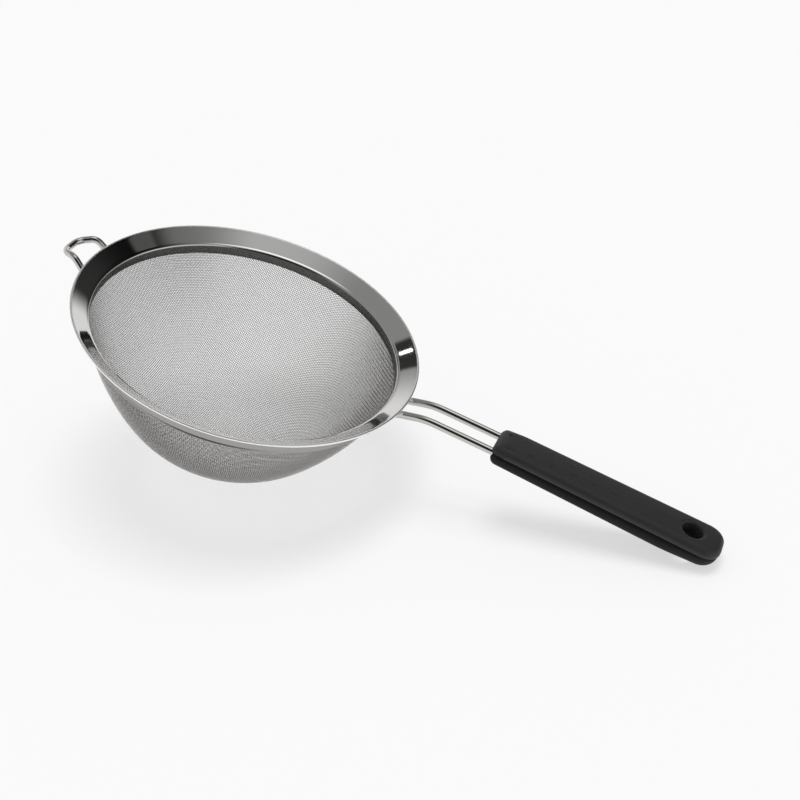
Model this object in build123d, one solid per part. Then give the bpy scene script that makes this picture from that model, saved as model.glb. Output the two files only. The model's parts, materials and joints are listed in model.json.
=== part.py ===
from build123d import *
import os
from math import asin, atan2, cos, degrees, hypot, pi, radians, sin, sqrt, tan

# Double-rod mesh strainer, resting as it does on a table: on the bottom of its bowl
# and on the tail of its grip.
# Every piece is drawn in the bowl's own frame: the bowl's axis is Z, the top of the
# rim lies at Z = 0 and the handle runs along +X. At the end the whole strainer is
# leaned over by the angle at which the bowl and the grip both touch the table.
# Millimetres and degrees.

# Fits between seated pieces
seat_gap = 0.2
mould_gap = 0.1
weld_sink = 0.35

# Rim: one sheet ring with a hemmed lip, a sloping flange and a collar
rim_radius = 108.0
rim_sheet = 0.8
hem_gap = 0.2
hem_width = 2.2
flange_width = 12.9
flange_angle = 32.5
throat_bend = 1.5
collar_depth = 13.4

# Bowl of woven wire, drawn to a steep side and a round bottom
mesh_thickness = 0.8
bowl_depth = 98.0
side_radius = 180.0
bottom_drawn_in = 8.9

# The weave is drawn plainly, as rings of openings with bars between them
weave_bar = 5.0
weave_rings = 6
weave_sectors = 24

# Band that pinches the mesh against the collar
band_sheet = 0.7
band_cover = 1.4
band_flare = 0.6
flare_height = 1.3

# Handle frame: one rod bent to a hairpin, its two ends turned along the rim
rod_radius = 2.35
rod_spacing = 16.4
rod_level = -0.4
dip_past_lip = 14.0
dip_bend = 18.0
foot_inside_lip = 6.2
foot_turn = 8.1
foot_length = 17.4
foot_tip = 1.5
foot_bend = 6.5
hairpin_in_grip = 111.4
hairpin_bend = 7.6

# Rest loop opposite the handle
loop_wire_radius = 2.2
loop_spacing = 29.2
loop_start_inside_lip = 8.6
loop_under_lip = 0.6
loop_lip_clearance = 0.3
loop_crest_past_lip = 6.6
loop_crest_height = 0.9
loop_crest_spacing = 26.8
loop_past_lip = 16.4
loop_corner_spacing = 15.2
loop_drop = 2.5
loop_lip_bend = 6.0
loop_crest_bend = 6.5
loop_corner_bend = 8.5

# Grip: a rigid body moulded round the hairpin, and a soft cover over its top
rod_reach = 57.6
grip_length = 145.4
front_width = 25.8
tail_width = 29.2
front_corner = 4.8
tail_corner = 11.0
front_top = 7.0
tail_top = 4.8
front_bottom = -7.8
tail_bottom = -11.4
top_round = 4.6
bottom_round = 4.0
parting_below_top = 5.9
body_inset = 0.5
cover_wall = 1.3
cover_top = 2.6
groove = 0.6

# Hang hole
hole_radius = 6.4
hole_from_tail = 20.0
hole_top_round = 2.4
hole_bottom_round = 1.8

# One overrun serves every cutter
overrun = 5.0

throat_radius = rim_radius - flange_width
foot_circle = rim_radius - foot_inside_lip
rod_half = rod_spacing / 2
grip_front = rim_radius + rod_reach
grip_end = grip_front + grip_length
slope = tan(radians(flange_angle))
climb = Vector(cos(radians(flange_angle)), sin(radians(flange_angle)))

# The lip is a half circle of sheet folded flat under itself, round this centre.
hem_middle = (rim_sheet + hem_gap) / 2
lip_radius = hem_middle + rim_sheet / 2
lip_centre = Vector(rim_radius - lip_radius, -lip_radius)


def flange_underside(radius):
    """Height of the flange's lower face at a distance from the bowl's axis."""
    below = lip_radius - rim_sheet
    foot = lip_centre + Vector(-climb.Y, climb.X) * below
    return foot.Y - (foot.X - radius) * slope


def hem_underside(radius):
    """Height of the lower face of the folded hem at a distance from the axis."""
    foot = lip_centre + Vector(climb.Y, -climb.X) * lip_radius
    return foot.Y - (foot.X - radius) * slope


def sheet_ring(edges, thickness):
    """Ring turned from the middle line of a sheet, with softly rounded sheet edges."""
    outline = Wire(edges).offset_2d(thickness / 2)
    return revolve(Plane.XZ * make_face(outline), Axis.Z)


def bent_rod(points, bends, radius):
    """Round rod along straight runs that are joined by tangent arcs."""
    line = FilletPolyline(*points, radius=bends)
    section = Plane(origin=line @ 0, z_dir=line % 0) * Circle(radius)
    rod = sweep(section, path=line)
    share = rod.volume / (pi * radius**2 * line.length)
    print("rod length", round(line.length, 1), "volume against section by length", round(share, 4))
    return rod


def mirrored(points):
    """The points, then their images across the handle's plane in reverse order."""
    return points + [(x, -y, z) for x, y, z in reversed(points)]


def make_rim_ring():
    """Pressed ring: collar, throat bend, flange that rises outward, folded lip."""
    start = lip_centre + Vector(-climb.Y, climb.X) * hem_middle
    collar_middle = throat_radius + rim_sheet / 2
    corner = Vector(collar_middle, start.Y - (start.X - collar_middle) * slope)
    sheet_line = FilletPolyline(
        (collar_middle, -collar_depth + rim_sheet / 2), corner, start, radius=throat_bend
    )
    fold = JernArc(start, climb, hem_middle, -180)
    hem = Line(fold @ 1, (fold @ 1) - climb * hem_width)
    return sheet_ring([*sheet_line.edges(), fold.edge(), hem.edge()], rim_sheet)


mesh_inner = throat_radius + rim_sheet + seat_gap
mesh_outer = mesh_inner + mesh_thickness
bottom_radius = mesh_outer - bottom_drawn_in
mesh_top = flange_underside(mesh_outer) - throat_bend
band_bottom = -collar_depth - band_cover


def bowl_centres():
    """Centres of the side arc and the bottom arc of the bowl's outer face.

    The bottom arc lies on the axis, the side arc starts where the mesh leaves the
    band, and the two are tangent."""
    bottom = Vector(0, bottom_radius - bowl_depth)
    start = Vector(mesh_outer, -collar_depth)
    apart = side_radius - bottom_radius
    span = (start - bottom).length
    along = (apart**2 - side_radius**2 + span**2) / (2 * span)
    off = sqrt(apart**2 - along**2)
    ahead = (start - bottom).normalized()
    side = bottom + ahead * along + Vector(-ahead.Y, ahead.X) * off
    return side, bottom


def wall_arcs(inset):
    """Point under the band and the two arcs of the bowl's wall, at an inset from its
    outer face, ending on the axis."""
    side, bottom = bowl_centres()
    big = side_radius - inset
    small = bottom_radius - inset
    radius = mesh_outer - inset
    drop = sqrt(big**2 - (radius - side.X) ** 2)
    start = Vector(radius, side.Y - drop)
    away = (bottom - side).normalized()
    meet = bottom + away * small
    foot = Vector(0, bottom.Y - small)
    first = (start - side).normalized()
    middle = side + (first + away).normalized() * big
    lower = bottom + (away + Vector(0, -1)).normalized() * small
    return start, ThreePointArc(start, middle, meet), ThreePointArc(meet, lower, foot)


def heading(way):
    """Angle of a direction from straight down, towards the rim."""
    return atan2(way.X, -way.Y)


def wall_length(turn):
    """Length along the middle of the bowl's wall, from its bottom to where the wall's
    outward direction has turned by an angle."""
    side, bottom = bowl_centres()
    half = mesh_thickness / 2
    joint = heading(bottom - side)
    on_side = max(turn - joint, 0)
    return min(turn, joint) * (bottom_radius - half) + on_side * (side_radius - half)


def on_wall(along):
    """Frame in the middle of the bowl's wall at a length along it from the bottom: X
    runs round the bowl, Y up the wall and Z square out of it."""
    side, bottom = bowl_centres()
    half = mesh_thickness / 2
    joint = heading(bottom - side)
    past = along - joint * (bottom_radius - half)
    if past > 0:
        centre, radius = side, side_radius - half
        turn = joint + past / radius
    else:
        centre, radius = bottom, bottom_radius - half
        turn = along / radius
    spot = centre + Vector(sin(turn), -cos(turn)) * radius
    return Plane((spot.X, 0, spot.Y), x_dir=(0, 1, 0), z_dir=(sin(turn), 0, -cos(turn)))


def ring_of_openings(start, end):
    """Cutters of one ring of openings between two lengths along the wall, with bars of
    even width between them. A ring has half or a quarter as many openings where they
    would be narrower than its bars."""
    lower, middle, upper = [2 * pi * on_wall(at).origin.X for at in (start, (start + end) / 2, end)]
    sectors = weave_sectors
    while middle / sectors < 2 * weave_bar:
        sectors = sectors // 2
    foot = (lower / sectors - weave_bar) / 2
    head = (upper / sectors - weave_bar) / 2
    rise = (end - start) / 2
    window = make_face(Polyline((-foot, -rise), (foot, -rise), (head, rise), (-head, rise), close=True))
    cutter = extrude(on_wall((start + end) / 2) * window, overrun, both=True)
    return [Rot(0, 0, (turn + 1 / 2) * 360 / sectors) * cutter for turn in range(sectors)]


def weave_openings():
    """Cutters of all openings: one ring below the bar that the bowl rests on, and the
    others evenly above it, up to the band."""
    side, bottom = bowl_centres()
    resting = wall_length(radians(resting_angle()))
    top = wall_length(heading(Vector(mesh_outer, -collar_depth) - side)) - band_cover
    pitch = (top - resting) / weave_rings
    cutters = []
    for ring in range(-1, weave_rings):
        start = resting + ring * pitch + weave_bar / 2
        cutters += ring_of_openings(start, start + pitch - weave_bar)
    return cutters


def make_mesh_bowl():
    """Skin as thick as the woven cloth: a straight hem between collar and band, a steep
    side and a round bottom, opened by the weave."""
    outer_start, outer_side, outer_bottom = wall_arcs(0)
    inner_start, inner_side, inner_bottom = wall_arcs(mesh_thickness)
    edges = [
        Line((mesh_outer, mesh_top), outer_start),
        outer_side,
        outer_bottom,
        Line(outer_bottom @ 1, inner_bottom @ 1),
        inner_bottom,
        inner_side,
        Line(inner_start, (mesh_inner, mesh_top)),
        Line((mesh_inner, mesh_top), (mesh_outer, mesh_top)),
    ]
    outline = Wire([line.edge() for line in edges])
    return revolve(Plane.XZ * make_face(outline), Axis.Z) - weave_openings()


band_middle = mesh_outer + seat_gap + band_sheet / 2


def make_clamp_band():
    """Sheet band round the mesh, flared at its lower edge."""
    line = Polyline(
        (band_middle, mesh_top - band_sheet),
        (band_middle, band_bottom + flare_height),
        (band_middle + band_flare, band_bottom + band_sheet / 2),
    )
    return sheet_ring(line.edges(), band_sheet)


foot_level = flange_underside(foot_circle) - (rod_radius - weld_sink) / climb.X


def rod_points():
    """Route of one half of the handle frame, from the welded foot to the hairpin."""
    first = asin((rod_half + foot_turn) / foot_circle)
    half = foot_length / foot_circle / 2
    last = first + 2 * half
    end = Vector(foot_circle * cos(last), foot_circle * sin(last))
    end = end + Vector(-sin(last), cos(last)) * foot_tip
    corner = Vector(cos(first + half), sin(first + half)) * (foot_circle / cos(half))
    back = (rod_half - foot_circle * sin(first)) / cos(first)
    turn = Vector(foot_circle * cos(first) - back * sin(first), rod_half)
    return [
        (end.X, end.Y, foot_level),
        (corner.X, corner.Y, foot_level),
        (turn.X, turn.Y, foot_level),
        (rim_radius + dip_past_lip, rod_half, rod_level),
        (grip_front + hairpin_in_grip - rod_radius, rod_half, rod_level),
    ]


def make_handle_frame(rim):
    """Hairpin rod: two feet along the rim, two straight runs, one U in the grip."""
    bends = [foot_circle, foot_bend, dip_bend, hairpin_bend]
    rod = bent_rod(mirrored(rod_points()), bends + bends[::-1], rod_radius)
    return rod - rim


def make_rest_loop(rim):
    """Wire loop that hooks on the rim of a pan, its two ends under the flange."""
    start = rim_radius - loop_start_inside_lip
    below_lip = rim_radius - loop_under_lip
    start_radius = hypot(start, loop_spacing / 2)
    sunk = (loop_wire_radius - weld_sink) / climb.X
    start_level = flange_underside(start_radius) - sunk
    lip_distance = hypot(below_lip, loop_spacing / 2)
    lip_level = hem_underside(min(lip_distance, lip_centre.X)) - loop_lip_clearance
    points = [
        (-start, loop_spacing / 2, start_level),
        (-below_lip, loop_spacing / 2, lip_level - loop_wire_radius),
        (-rim_radius - loop_crest_past_lip, loop_crest_spacing / 2, loop_crest_height),
        (-rim_radius - loop_past_lip, loop_corner_spacing / 2, -loop_drop),
    ]
    bends = [loop_lip_bend, loop_crest_bend, loop_corner_bend]
    wire = bent_rod(mirrored(points), bends + bends[::-1], loop_wire_radius)
    return wire - rim


def grip_form(inset, top_inset):
    """Solid of the grip's outer shape, drawn in by an inset all round."""
    x0 = grip_front + inset
    x1 = grip_end - inset
    half_front = front_width / 2 - inset
    half_tail = tail_width / 2 - inset
    plan = make_face(
        Polyline(
            (x0, -half_front), (x1, -half_tail), (x1, half_tail), (x0, half_front), close=True
        )
    )
    plan = fillet(plan.vertices().sort_by(Axis.X)[:2], front_corner - inset)
    plan = fillet(plan.vertices().sort_by(Axis.X)[-2:], tail_corner - inset)
    reach = front_top - tail_bottom
    block = Pos(0, 0, -reach) * extrude(plan, 2 * reach)
    side = make_face(
        Polyline(
            (grip_front - overrun, front_bottom + inset),
            (grip_end + overrun, tail_bottom + inset),
            (grip_end + overrun, tail_top - top_inset),
            (grip_front - overrun, front_top - top_inset),
            close=True,
        )
    )
    slab = extrude(Plane.XZ * side, tail_width, both=True)
    form = block & slab
    upper = form.faces().sort_by(Axis.Z)[-1]
    form = fillet(upper.edges(), top_round - inset)
    lower = form.faces().sort_by(Axis.Z)[0]
    return fillet(lower.edges(), bottom_round - inset)


def parting_slab(lift):
    """Everything above the parting plane, which runs parallel to the grip's top."""
    drop = parting_below_top - lift
    corners = [
        (grip_front - overrun, front_top - drop),
        (grip_end + overrun, tail_top - drop),
        (grip_end + overrun, front_top + overrun),
        (grip_front - overrun, front_top + overrun),
    ]
    return extrude(Plane.XZ * make_face(Polyline(*corners, close=True)), tail_width, both=True)


hole_centre = grip_end - hole_from_tail


def hang_hole():
    """Cutter of the straight hole through the grip."""
    reach = front_top - tail_bottom
    return Pos(hole_centre, 0, 0) * Cylinder(hole_radius, 2 * reach)


def soften_mouth(piece, height, radius):
    """Round the edge where the hang hole meets the face nearest a height."""
    def is_ring(edge):
        box = edge.bounding_box()
        over_hole = abs(box.center().X - hole_centre) < seat_gap
        return over_hole and abs(box.size.Y - 2 * hole_radius) < seat_gap

    def distance(edge):
        return abs(edge.bounding_box().center().Z - height)

    rings = piece.edges().filter_by(is_ring).sort_by(distance)
    return fillet(rings[0], radius)


def grip_height(front, tail, x):
    """Height of a face that runs straight from the grip's front to its tail."""
    return front + (tail - front) * (x - grip_front) / grip_length


def make_grip_body(frame):
    """Rigid moulding round the hairpin: a full lower half and a raised tongue that
    the cover fits over."""
    above = parting_slab(0)
    lower = grip_form(body_inset, cover_top) - above
    tongue = grip_form(cover_wall + mould_gap, cover_top + mould_gap) & above
    body = lower + tongue
    body = body - hang_hole()
    body = soften_mouth(body, grip_height(front_bottom, tail_bottom, hole_centre), hole_bottom_round)
    return body - frame


def make_grip_cover(frame):
    """Soft shell over the tongue, notched over the rods, with its lower edge beveled
    to a groove along the parting line."""
    shell = grip_form(0, 0) & parting_slab(0)
    lip = shell.faces().sort_by(Axis.Z)[0].outer_wire().edges()
    shell = chamfer(lip, groove)
    shell = shell - grip_form(cover_wall, cover_top)
    shell = shell - hang_hole() - frame
    return soften_mouth(shell, grip_height(front_top, tail_top, hole_centre), hole_top_round)


def resting_angle():
    """Lean at which the bowl's round bottom and the grip's tail touch one plane."""
    tail_slope = (tail_bottom - front_bottom) / grip_length
    tail_x = grip_end - bottom_round
    tail_round = bottom_round - body_inset
    floor_z = grip_height(front_bottom, tail_bottom, tail_x) + body_inset
    tail_z = floor_z + tail_round * sqrt(1 + tail_slope**2)
    bowl_z = bottom_radius - bowl_depth
    span = hypot(tail_x, tail_z - bowl_z)
    heading = degrees(atan2(tail_z - bowl_z, tail_x))
    return heading + degrees(asin((bottom_radius - tail_round) / span))


def main():
    rim = make_rim_ring()
    frame = make_handle_frame(rim)
    nodes = {
        "rim_ring": rim,
        "mesh_bowl": make_mesh_bowl(),
        "clamp_band": make_clamp_band(),
        "handle_frame": frame,
        "rest_loop": make_rest_loop(rim),
        "grip_body": make_grip_body(frame),
        "grip_cover": make_grip_cover(frame),
    }
    lean = Rot(0, resting_angle(), 0)
    leaned = {name: lean * piece for name, piece in nodes.items()}
    box = Compound(children=[Compound(piece.solids()) for piece in leaned.values()]).bounding_box()
    home = Pos(-box.center().X, 0, -box.min.Z)
    os.makedirs("parts", exist_ok=True)
    for name, piece in leaned.items():
        export_step(home * piece, f"parts/{name}.step")
    print("resting angle", round(resting_angle(), 3), "moved by", -box.center().X, -box.min.Z)
    print("overall size", box.size)


main()
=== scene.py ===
import json
from math import atan2, cos, hypot, pi, radians, sin, sqrt, tan

import bpy
import numpy as np
from mathutils import Matrix, Vector


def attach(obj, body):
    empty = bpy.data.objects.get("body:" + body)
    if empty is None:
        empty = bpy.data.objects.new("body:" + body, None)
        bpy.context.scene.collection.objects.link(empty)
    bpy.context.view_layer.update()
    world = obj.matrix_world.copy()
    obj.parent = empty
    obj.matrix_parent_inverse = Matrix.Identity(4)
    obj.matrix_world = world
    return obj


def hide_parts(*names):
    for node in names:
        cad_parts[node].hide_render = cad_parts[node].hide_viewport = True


bl_info = {
    "name": "Mesh Strainer",
    "version": (1, 0, 0),
    "blender": (4, 5, 0),
    "location": "3D View > Sidebar > Strainer",
    "description": "Builds a mesh strainer with a woven wire bowl, two rods and a soft grip",
    "category": "Add Mesh",
}

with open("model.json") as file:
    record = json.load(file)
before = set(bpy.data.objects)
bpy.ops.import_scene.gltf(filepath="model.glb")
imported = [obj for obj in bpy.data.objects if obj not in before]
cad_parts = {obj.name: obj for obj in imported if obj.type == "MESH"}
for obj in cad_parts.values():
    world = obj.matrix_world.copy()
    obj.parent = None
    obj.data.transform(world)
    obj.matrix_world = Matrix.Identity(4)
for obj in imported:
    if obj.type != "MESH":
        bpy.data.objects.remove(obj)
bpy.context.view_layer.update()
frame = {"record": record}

BODY = "root"

# How finely the surfaces are divided
RIM_COLUMNS = 800
BAND_COLUMNS = 720
RIM_STEP = radians(7)
BAND_STEP = radians(8)
SHEET_END_STEP = radians(30)
LONGEST_RIM_RUN = 0.0025
ROD_STEP = radians(4)
ROD_SIDES = 32
CAP_RINGS = 5
WIRE_SIDES = 6
WIRE_PARTS = 3
NEWTON_STEPS = 6
OUTLINE_STEP = radians(6)
LONGEST_OUTLINE_RUN = 0.0015
SHOULDER_ROWS = 11
LOWER_EDGE_ROWS = 13
TOP_MOUTH_ROWS = 8
LOWER_MOUTH_ROWS = 7
CROSS_SHARES = np.linspace(0, 1, 9)[1:-1]

# A rod's rounded end: angle of its last ring, and the share of the radius left flat
CAP_ANGLE = 0.2
CAP_FLAT = 0.12

# Bevel of the cover's lower edge: inset and rise of its rows, in shares of the groove
BEVEL = ((1, 0), (0.3, 0.4), (0, 1.2))

# Where the rim's tint and roughness change, past the collar's face and inside the lip's edge,
# and how they differ there: the collar is painted dark, as painted shade in the ring's
# throat, and the folded lip is painted light, as a painted highlight; both are rougher
COLLAR_FADE = (0.0001, 0.0004)
COLLAR_PAINTED_SHADE, COLLAR_DULLNESS = 0.22, 0.2
LIP_FADE = (0.0019, 0.0014)
LIP_PAINTED_HIGHLIGHT, LIP_DULLNESS = 1.42, 0.33

# Where a wire is painted dark, as painted shade under a crossing wire, and where it keeps
# its own tint: off the cloth's middle surface, in wires
DIP_PAINTED_SHADE, CREST_UNSHADED = 0.3, 0.85

FLOOR_HALF = 4.0


# Properties


def distance(name, description, default):
    """A length in metres."""
    return bpy.props.FloatProperty(
        name=name, description=description, default=default, unit="LENGTH", subtype="DISTANCE"
    )


def angle(name, description, degrees):
    """An angle, given in degrees and kept in radians."""
    return bpy.props.FloatProperty(
        name=name, description=description, default=radians(degrees),
        unit="ROTATION", subtype="ANGLE",
    )


def share(name, description, default):
    """A number from 0 up, such as a level of light."""
    return bpy.props.FloatProperty(name=name, description=description, default=default, min=0)


def colour(name, description, default):
    """A colour in linear values."""
    return bpy.props.FloatVectorProperty(
        name=name, description=description, default=default, size=3, min=0, max=1, subtype="COLOR"
    )


class RimSizes(bpy.types.PropertyGroup):
    """The pressed ring and the band below it."""

    radius: distance("Radius", "From the bowl's axis to the outer lip", 0.108)
    sheet: distance("Sheet", "Thickness of the ring's sheet", 0.0008)
    hem_gap: distance("Hem gap", "Space inside the folded lip", 0.0002)
    hem_width: distance("Hem width", "Width of the sheet folded under", 0.0022)
    flange_width: distance("Flange width", "From the throat to the lip, seen from above", 0.0129)
    flange_angle: angle("Flange angle", "Rise of the flange from the throat", 32.5)
    throat_bend: distance("Throat bend", "Radius of the bend between collar and flange", 0.0015)
    shelf_width: distance("Shelf width", "Width of the bead between collar and flange", 0.0017)
    shelf_angle: angle("Shelf angle", "Rise of that bead, less than the flange's", 22)
    shelf_bend: distance("Shelf bend", "Radius of the bend between bead and flange", 0.003)
    collar_depth: distance("Collar depth", "From the lip's top to the collar's lower edge", 0.0134)
    band_sheet: distance("Band sheet", "Thickness of the band that holds the mesh", 0.0007)
    band_cover: distance("Band cover", "How far the band reaches below the collar", 0.0014)
    band_flare: distance("Band flare", "How far the band's lower edge stands out", 0.0006)
    flare_height: distance("Flare height", "Height of the band's flared edge", 0.0013)
    seat_gap: distance("Seat gap", "Clearance between ring, mesh and band", 0.0002)


class MeshSizes(bpy.types.PropertyGroup):
    """The woven bowl."""

    pitch: distance("Pitch", "From one wire to the next", 0.00125)
    wire: distance("Wire", "Diameter of a wire", 0.00035)
    thickness: distance("Thickness", "Thickness of the cloth with its clearance", 0.0008)
    depth: distance("Depth", "From the lip's top to the bottom of the bowl", 0.098)
    side_radius: distance("Side radius", "Radius of the steep side, seen in section", 0.18)
    bottom_drawn_in: distance("Bottom drawn in", "The mouth's radius less the bottom's", 0.0089)
    hidden_edge: distance("Hidden edge", "How far the cloth reaches up behind the collar", 0.0035)


class RodSizes(bpy.types.PropertyGroup):
    """The hairpin rod."""

    radius: distance("Radius", "Radius of the rod", 0.00235)
    spacing: distance("Spacing", "Between the middle lines of the two runs", 0.0164)
    level: distance("Level", "Height of the runs against the lip's top", -0.0004)
    dip_past_lip: distance("Dip past lip", "Where the runs start to dip to the flange", 0.014)
    dip_bend: distance("Dip bend", "Bend radius of the dip", 0.045)
    foot_inside_lip: distance("Foot inside lip", "From the lip to the foot's middle line", 0.0062)
    foot_turn: distance("Foot turn", "Sideways room of the bend into a foot", 0.0081)
    foot_length: distance("Foot length", "Length of a foot along the rim", 0.0174)
    foot_tip: distance("Foot tip", "Straight end of a foot", 0.0015)
    foot_bend: distance("Foot bend", "Bend radius between a run and its foot", 0.0065)
    weld_sink: distance("Weld sink", "How far a foot is welded into the flange", 0.00035)
    hairpin_in_grip: distance("Hairpin in grip", "How far the rod reaches into the grip", 0.1114)
    hairpin_bend: distance("Hairpin bend", "Bend radius of the hairpin", 0.0076)


class LoopSizes(bpy.types.PropertyGroup):
    """The wire loop opposite the handle."""

    radius: distance("Wire radius", "Radius of the loop's wire", 0.0022)
    spacing: distance("Spacing", "Between the two legs", 0.0292)
    start_inside_lip: distance("Start inside lip", "Where the legs start under the flange", 0.0086)
    under_lip: distance("Under lip", "Where the legs turn up, inside of the lip", 0.0006)
    lip_clearance: distance("Lip clearance", "Between a leg and the folded lip", 0.0003)
    crest_past_lip: distance("Crest past lip", "Where the legs crest, past the lip", 0.0066)
    crest_height: distance("Crest height", "Height of the crest over the lip's top", 0.0009)
    crest_spacing: distance("Crest spacing", "Between the legs at their crest", 0.0268)
    past_lip: distance("Reach past lip", "From the lip to the loop's far side", 0.0164)
    corner_spacing: distance("Corner spacing", "Between the corners of the far side", 0.0152)
    drop: distance("Drop", "How far the far side lies below the lip's top", 0.0025)
    lip_bend: distance("Lip bend", "Bend radius beside the lip", 0.006)
    crest_bend: distance("Crest bend", "Bend radius at the crest", 0.0065)
    corner_bend: distance("Corner bend", "Bend radius at the far corners", 0.0085)


class GripSizes(bpy.types.PropertyGroup):
    """The moulded grip."""

    rod_reach: distance("Rod reach", "From the lip to the grip's front", 0.0576)
    length: distance("Length", "Length of the grip", 0.1452)
    front_width: distance("Front width", "Width at the front", 0.0258)
    tail_width: distance("Tail width", "Width at the tail", 0.0292)
    front_corner: distance("Front corner", "Corner radius at the front, seen from above", 0.0048)
    tail_corner: distance("Tail corner", "Corner radius at the tail, seen from above", 0.011)
    front_top: distance("Front top", "Height of the top at the front", 0.007)
    tail_top: distance("Tail top", "Height of the top at the tail", 0.0048)
    front_bottom: distance("Front bottom", "Height of the underside at the front", -0.0078)
    tail_bottom: distance("Tail bottom", "Height of the underside at the tail", -0.0114)
    top_round: distance("Top round", "Radius of the cover's shoulder", 0.0046)
    bottom_round: distance("Bottom round", "Radius of the body's lower edge", 0.004)
    tail_round: distance("Tail round", "Radius of the body's lower edge at the tail", 0.0082)
    tail_round_length: distance("Tail round length", "How far the tail's edge grows", 0.038)
    shoulder_drop: distance("Shoulder drop", "Height of the cover's shoulder", 0.0039)
    front_reach: distance("Front reach", "How far in the shoulder starts at the front", 0.0088)
    front_drop: distance("Front drop", "Height of the shoulder at the front", 0.005)
    front_blend: distance("Front blend", "Length over which the front's shoulder fades", 0.016)
    crown: distance("Crown", "How much the top falls from its middle to its sides", 0.0009)
    parting: distance("Parting", "From the top to the parting line", 0.0059)
    body_inset: distance("Body inset", "How far the body stands in from the cover", 0.0005)
    cover_wall: distance("Cover wall", "Thickness of the cover's side", 0.0013)
    cover_top: distance("Cover top", "Thickness of the cover's top", 0.0026)
    mould_gap: distance("Mould gap", "Between cover and body", 0.0001)
    groove: distance("Groove", "Bevel of the cover's lower edge", 0.0006)
    hole_radius: distance("Hole radius", "Radius of the hang hole", 0.0064)
    hole_from_tail: distance("Hole from tail", "From the tail to the hole's axis", 0.0198)
    hole_top_round: distance("Hole top round", "Radius of the hole's upper mouth", 0.0024)
    hole_bottom_round: distance("Hole bottom round", "Radius of the hole's lower mouth", 0.0018)


class Finishes(bpy.types.PropertyGroup):
    """Colours of the metals and the mouldings."""

    polished_steel: colour("Polished steel", "Rim", (0.66, 0.655, 0.64))
    rod_steel: colour("Rod steel", "Rods and loop", (0.56, 0.55, 0.53))
    satin_steel: colour("Satin steel", "Clamp band", (0.36, 0.355, 0.345))
    drawn_wire: colour("Drawn wire", "Woven wire of the bowl", (0.93, 0.91, 0.885))
    soft_black: colour("Soft black", "Cover of the grip", (0.0175, 0.0165, 0.0165))
    # The body's own black, made darker than the cover's as painted shade along the grip's lower
    # side and groove
    rigid_black: colour("Rigid black", "Body of the grip", (0.008, 0.0076, 0.0076))


class StageSettings(bpy.types.PropertyGroup):
    """Floor, light and camera."""

    floor: colour("Floor", "Colour of the floor", (0.955, 0.95, 0.955))
    floor_glow: share("Floor glow", "Share of the floor's light that comes from below", 0.62)
    camera_place: bpy.props.FloatVectorProperty(
        name="Camera place", description="Where the camera stands", size=3, unit="LENGTH",
        subtype="TRANSLATION", default=(0.270, -0.718, 0.5428),
    )
    camera_azimuth: angle("Camera azimuth", "Turn of the camera round the upright", 19.92)
    camera_elevation: angle("Camera elevation", "How far the camera looks down", 31.92)
    camera_roll: angle("Camera roll", "Turn of the camera round its own axis", 0.70)
    camera_lens: bpy.props.FloatProperty(
        name="Lens", description="Focal length", default=67.5, unit="CAMERA"
    )
    sky_level: share("Sky level", "Even light from all round", 0.5)
    lamp_level: share("Lamp level", "Strength of the soft overhead lamp", 1.65)
    lamp_spread: angle("Lamp spread", "Angle that the overhead lamp covers", 32)
    lamp_lean: angle("Lamp lean", "Lean of the overhead lamp, below 0 away from the camera", -6)


class StrainerSettings(bpy.types.PropertyGroup):
    """Everything that a user would change."""

    rim: bpy.props.PointerProperty(type=RimSizes)
    mesh: bpy.props.PointerProperty(type=MeshSizes)
    rod: bpy.props.PointerProperty(type=RodSizes)
    loop: bpy.props.PointerProperty(type=LoopSizes)
    grip: bpy.props.PointerProperty(type=GripSizes)
    finish: bpy.props.PointerProperty(type=Finishes)
    stage: bpy.props.PointerProperty(type=StageSettings)


# Place of the leaning strainer


def grip_front(settings):
    """Where the grip starts, from the bowl's axis."""
    return settings.rim.radius + settings.grip.rod_reach


def hole_along(settings):
    """Where the hang hole is, from the bowl's axis."""
    return grip_front(settings) + settings.grip.length - settings.grip.hole_from_tail


def resting_place(settings):
    """Lean of the bowl's axis, and where the middle of the rim's top comes to lie.

    The lean is that of the record's mount in the hang hole, and the middle of the hole is
    carried to the mount's place."""
    mount = next(m for m in frame["record"]["mounts"] if m["name"] == "hang_hole")
    lean = atan2(mount["axis"][0], mount["axis"][2])
    grip = settings.grip
    along = hole_along(settings)
    upper = height_at(grip.front_top, grip.tail_top, along, settings) - grip.hole_top_round
    lower = height_at(grip.front_bottom, grip.tail_bottom, along, settings) + grip.hole_bottom_round
    middle = (upper + lower + grip.body_inset) / 2
    carried = (cos(lean) * along + sin(lean) * middle, 0, cos(lean) * middle - sin(lean) * along)
    return lean, np.array(mount["pos_m"]) - carried


def leaned(points, settings):
    """Points of the bowl's own frame, turned by the lean round the crosswise axis and
    moved to where the strainer rests."""
    lean, home = resting_place(settings)
    turn = np.array([[cos(lean), 0, sin(lean)], [0, 1, 0], [-sin(lean), 0, cos(lean)]])
    return points @ turn.T + home


def height_at(front, tail, x, settings):
    """Height at x of a plane that runs straight from the grip's front to its tail."""
    return front + (tail - front) * (x - grip_front(settings)) / settings.grip.length


# Curves and surfaces


def unit(vectors):
    """The vectors, each scaled to length 1."""
    return vectors / np.linalg.norm(vectors, axis=-1, keepdims=True)


def full_turn(count):
    """Cosines and sines, as columns, of angles evenly round a circle."""
    a = np.linspace(0, 2 * pi, count, endpoint=False)[:, None]
    return np.cos(a), np.sin(a)


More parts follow.
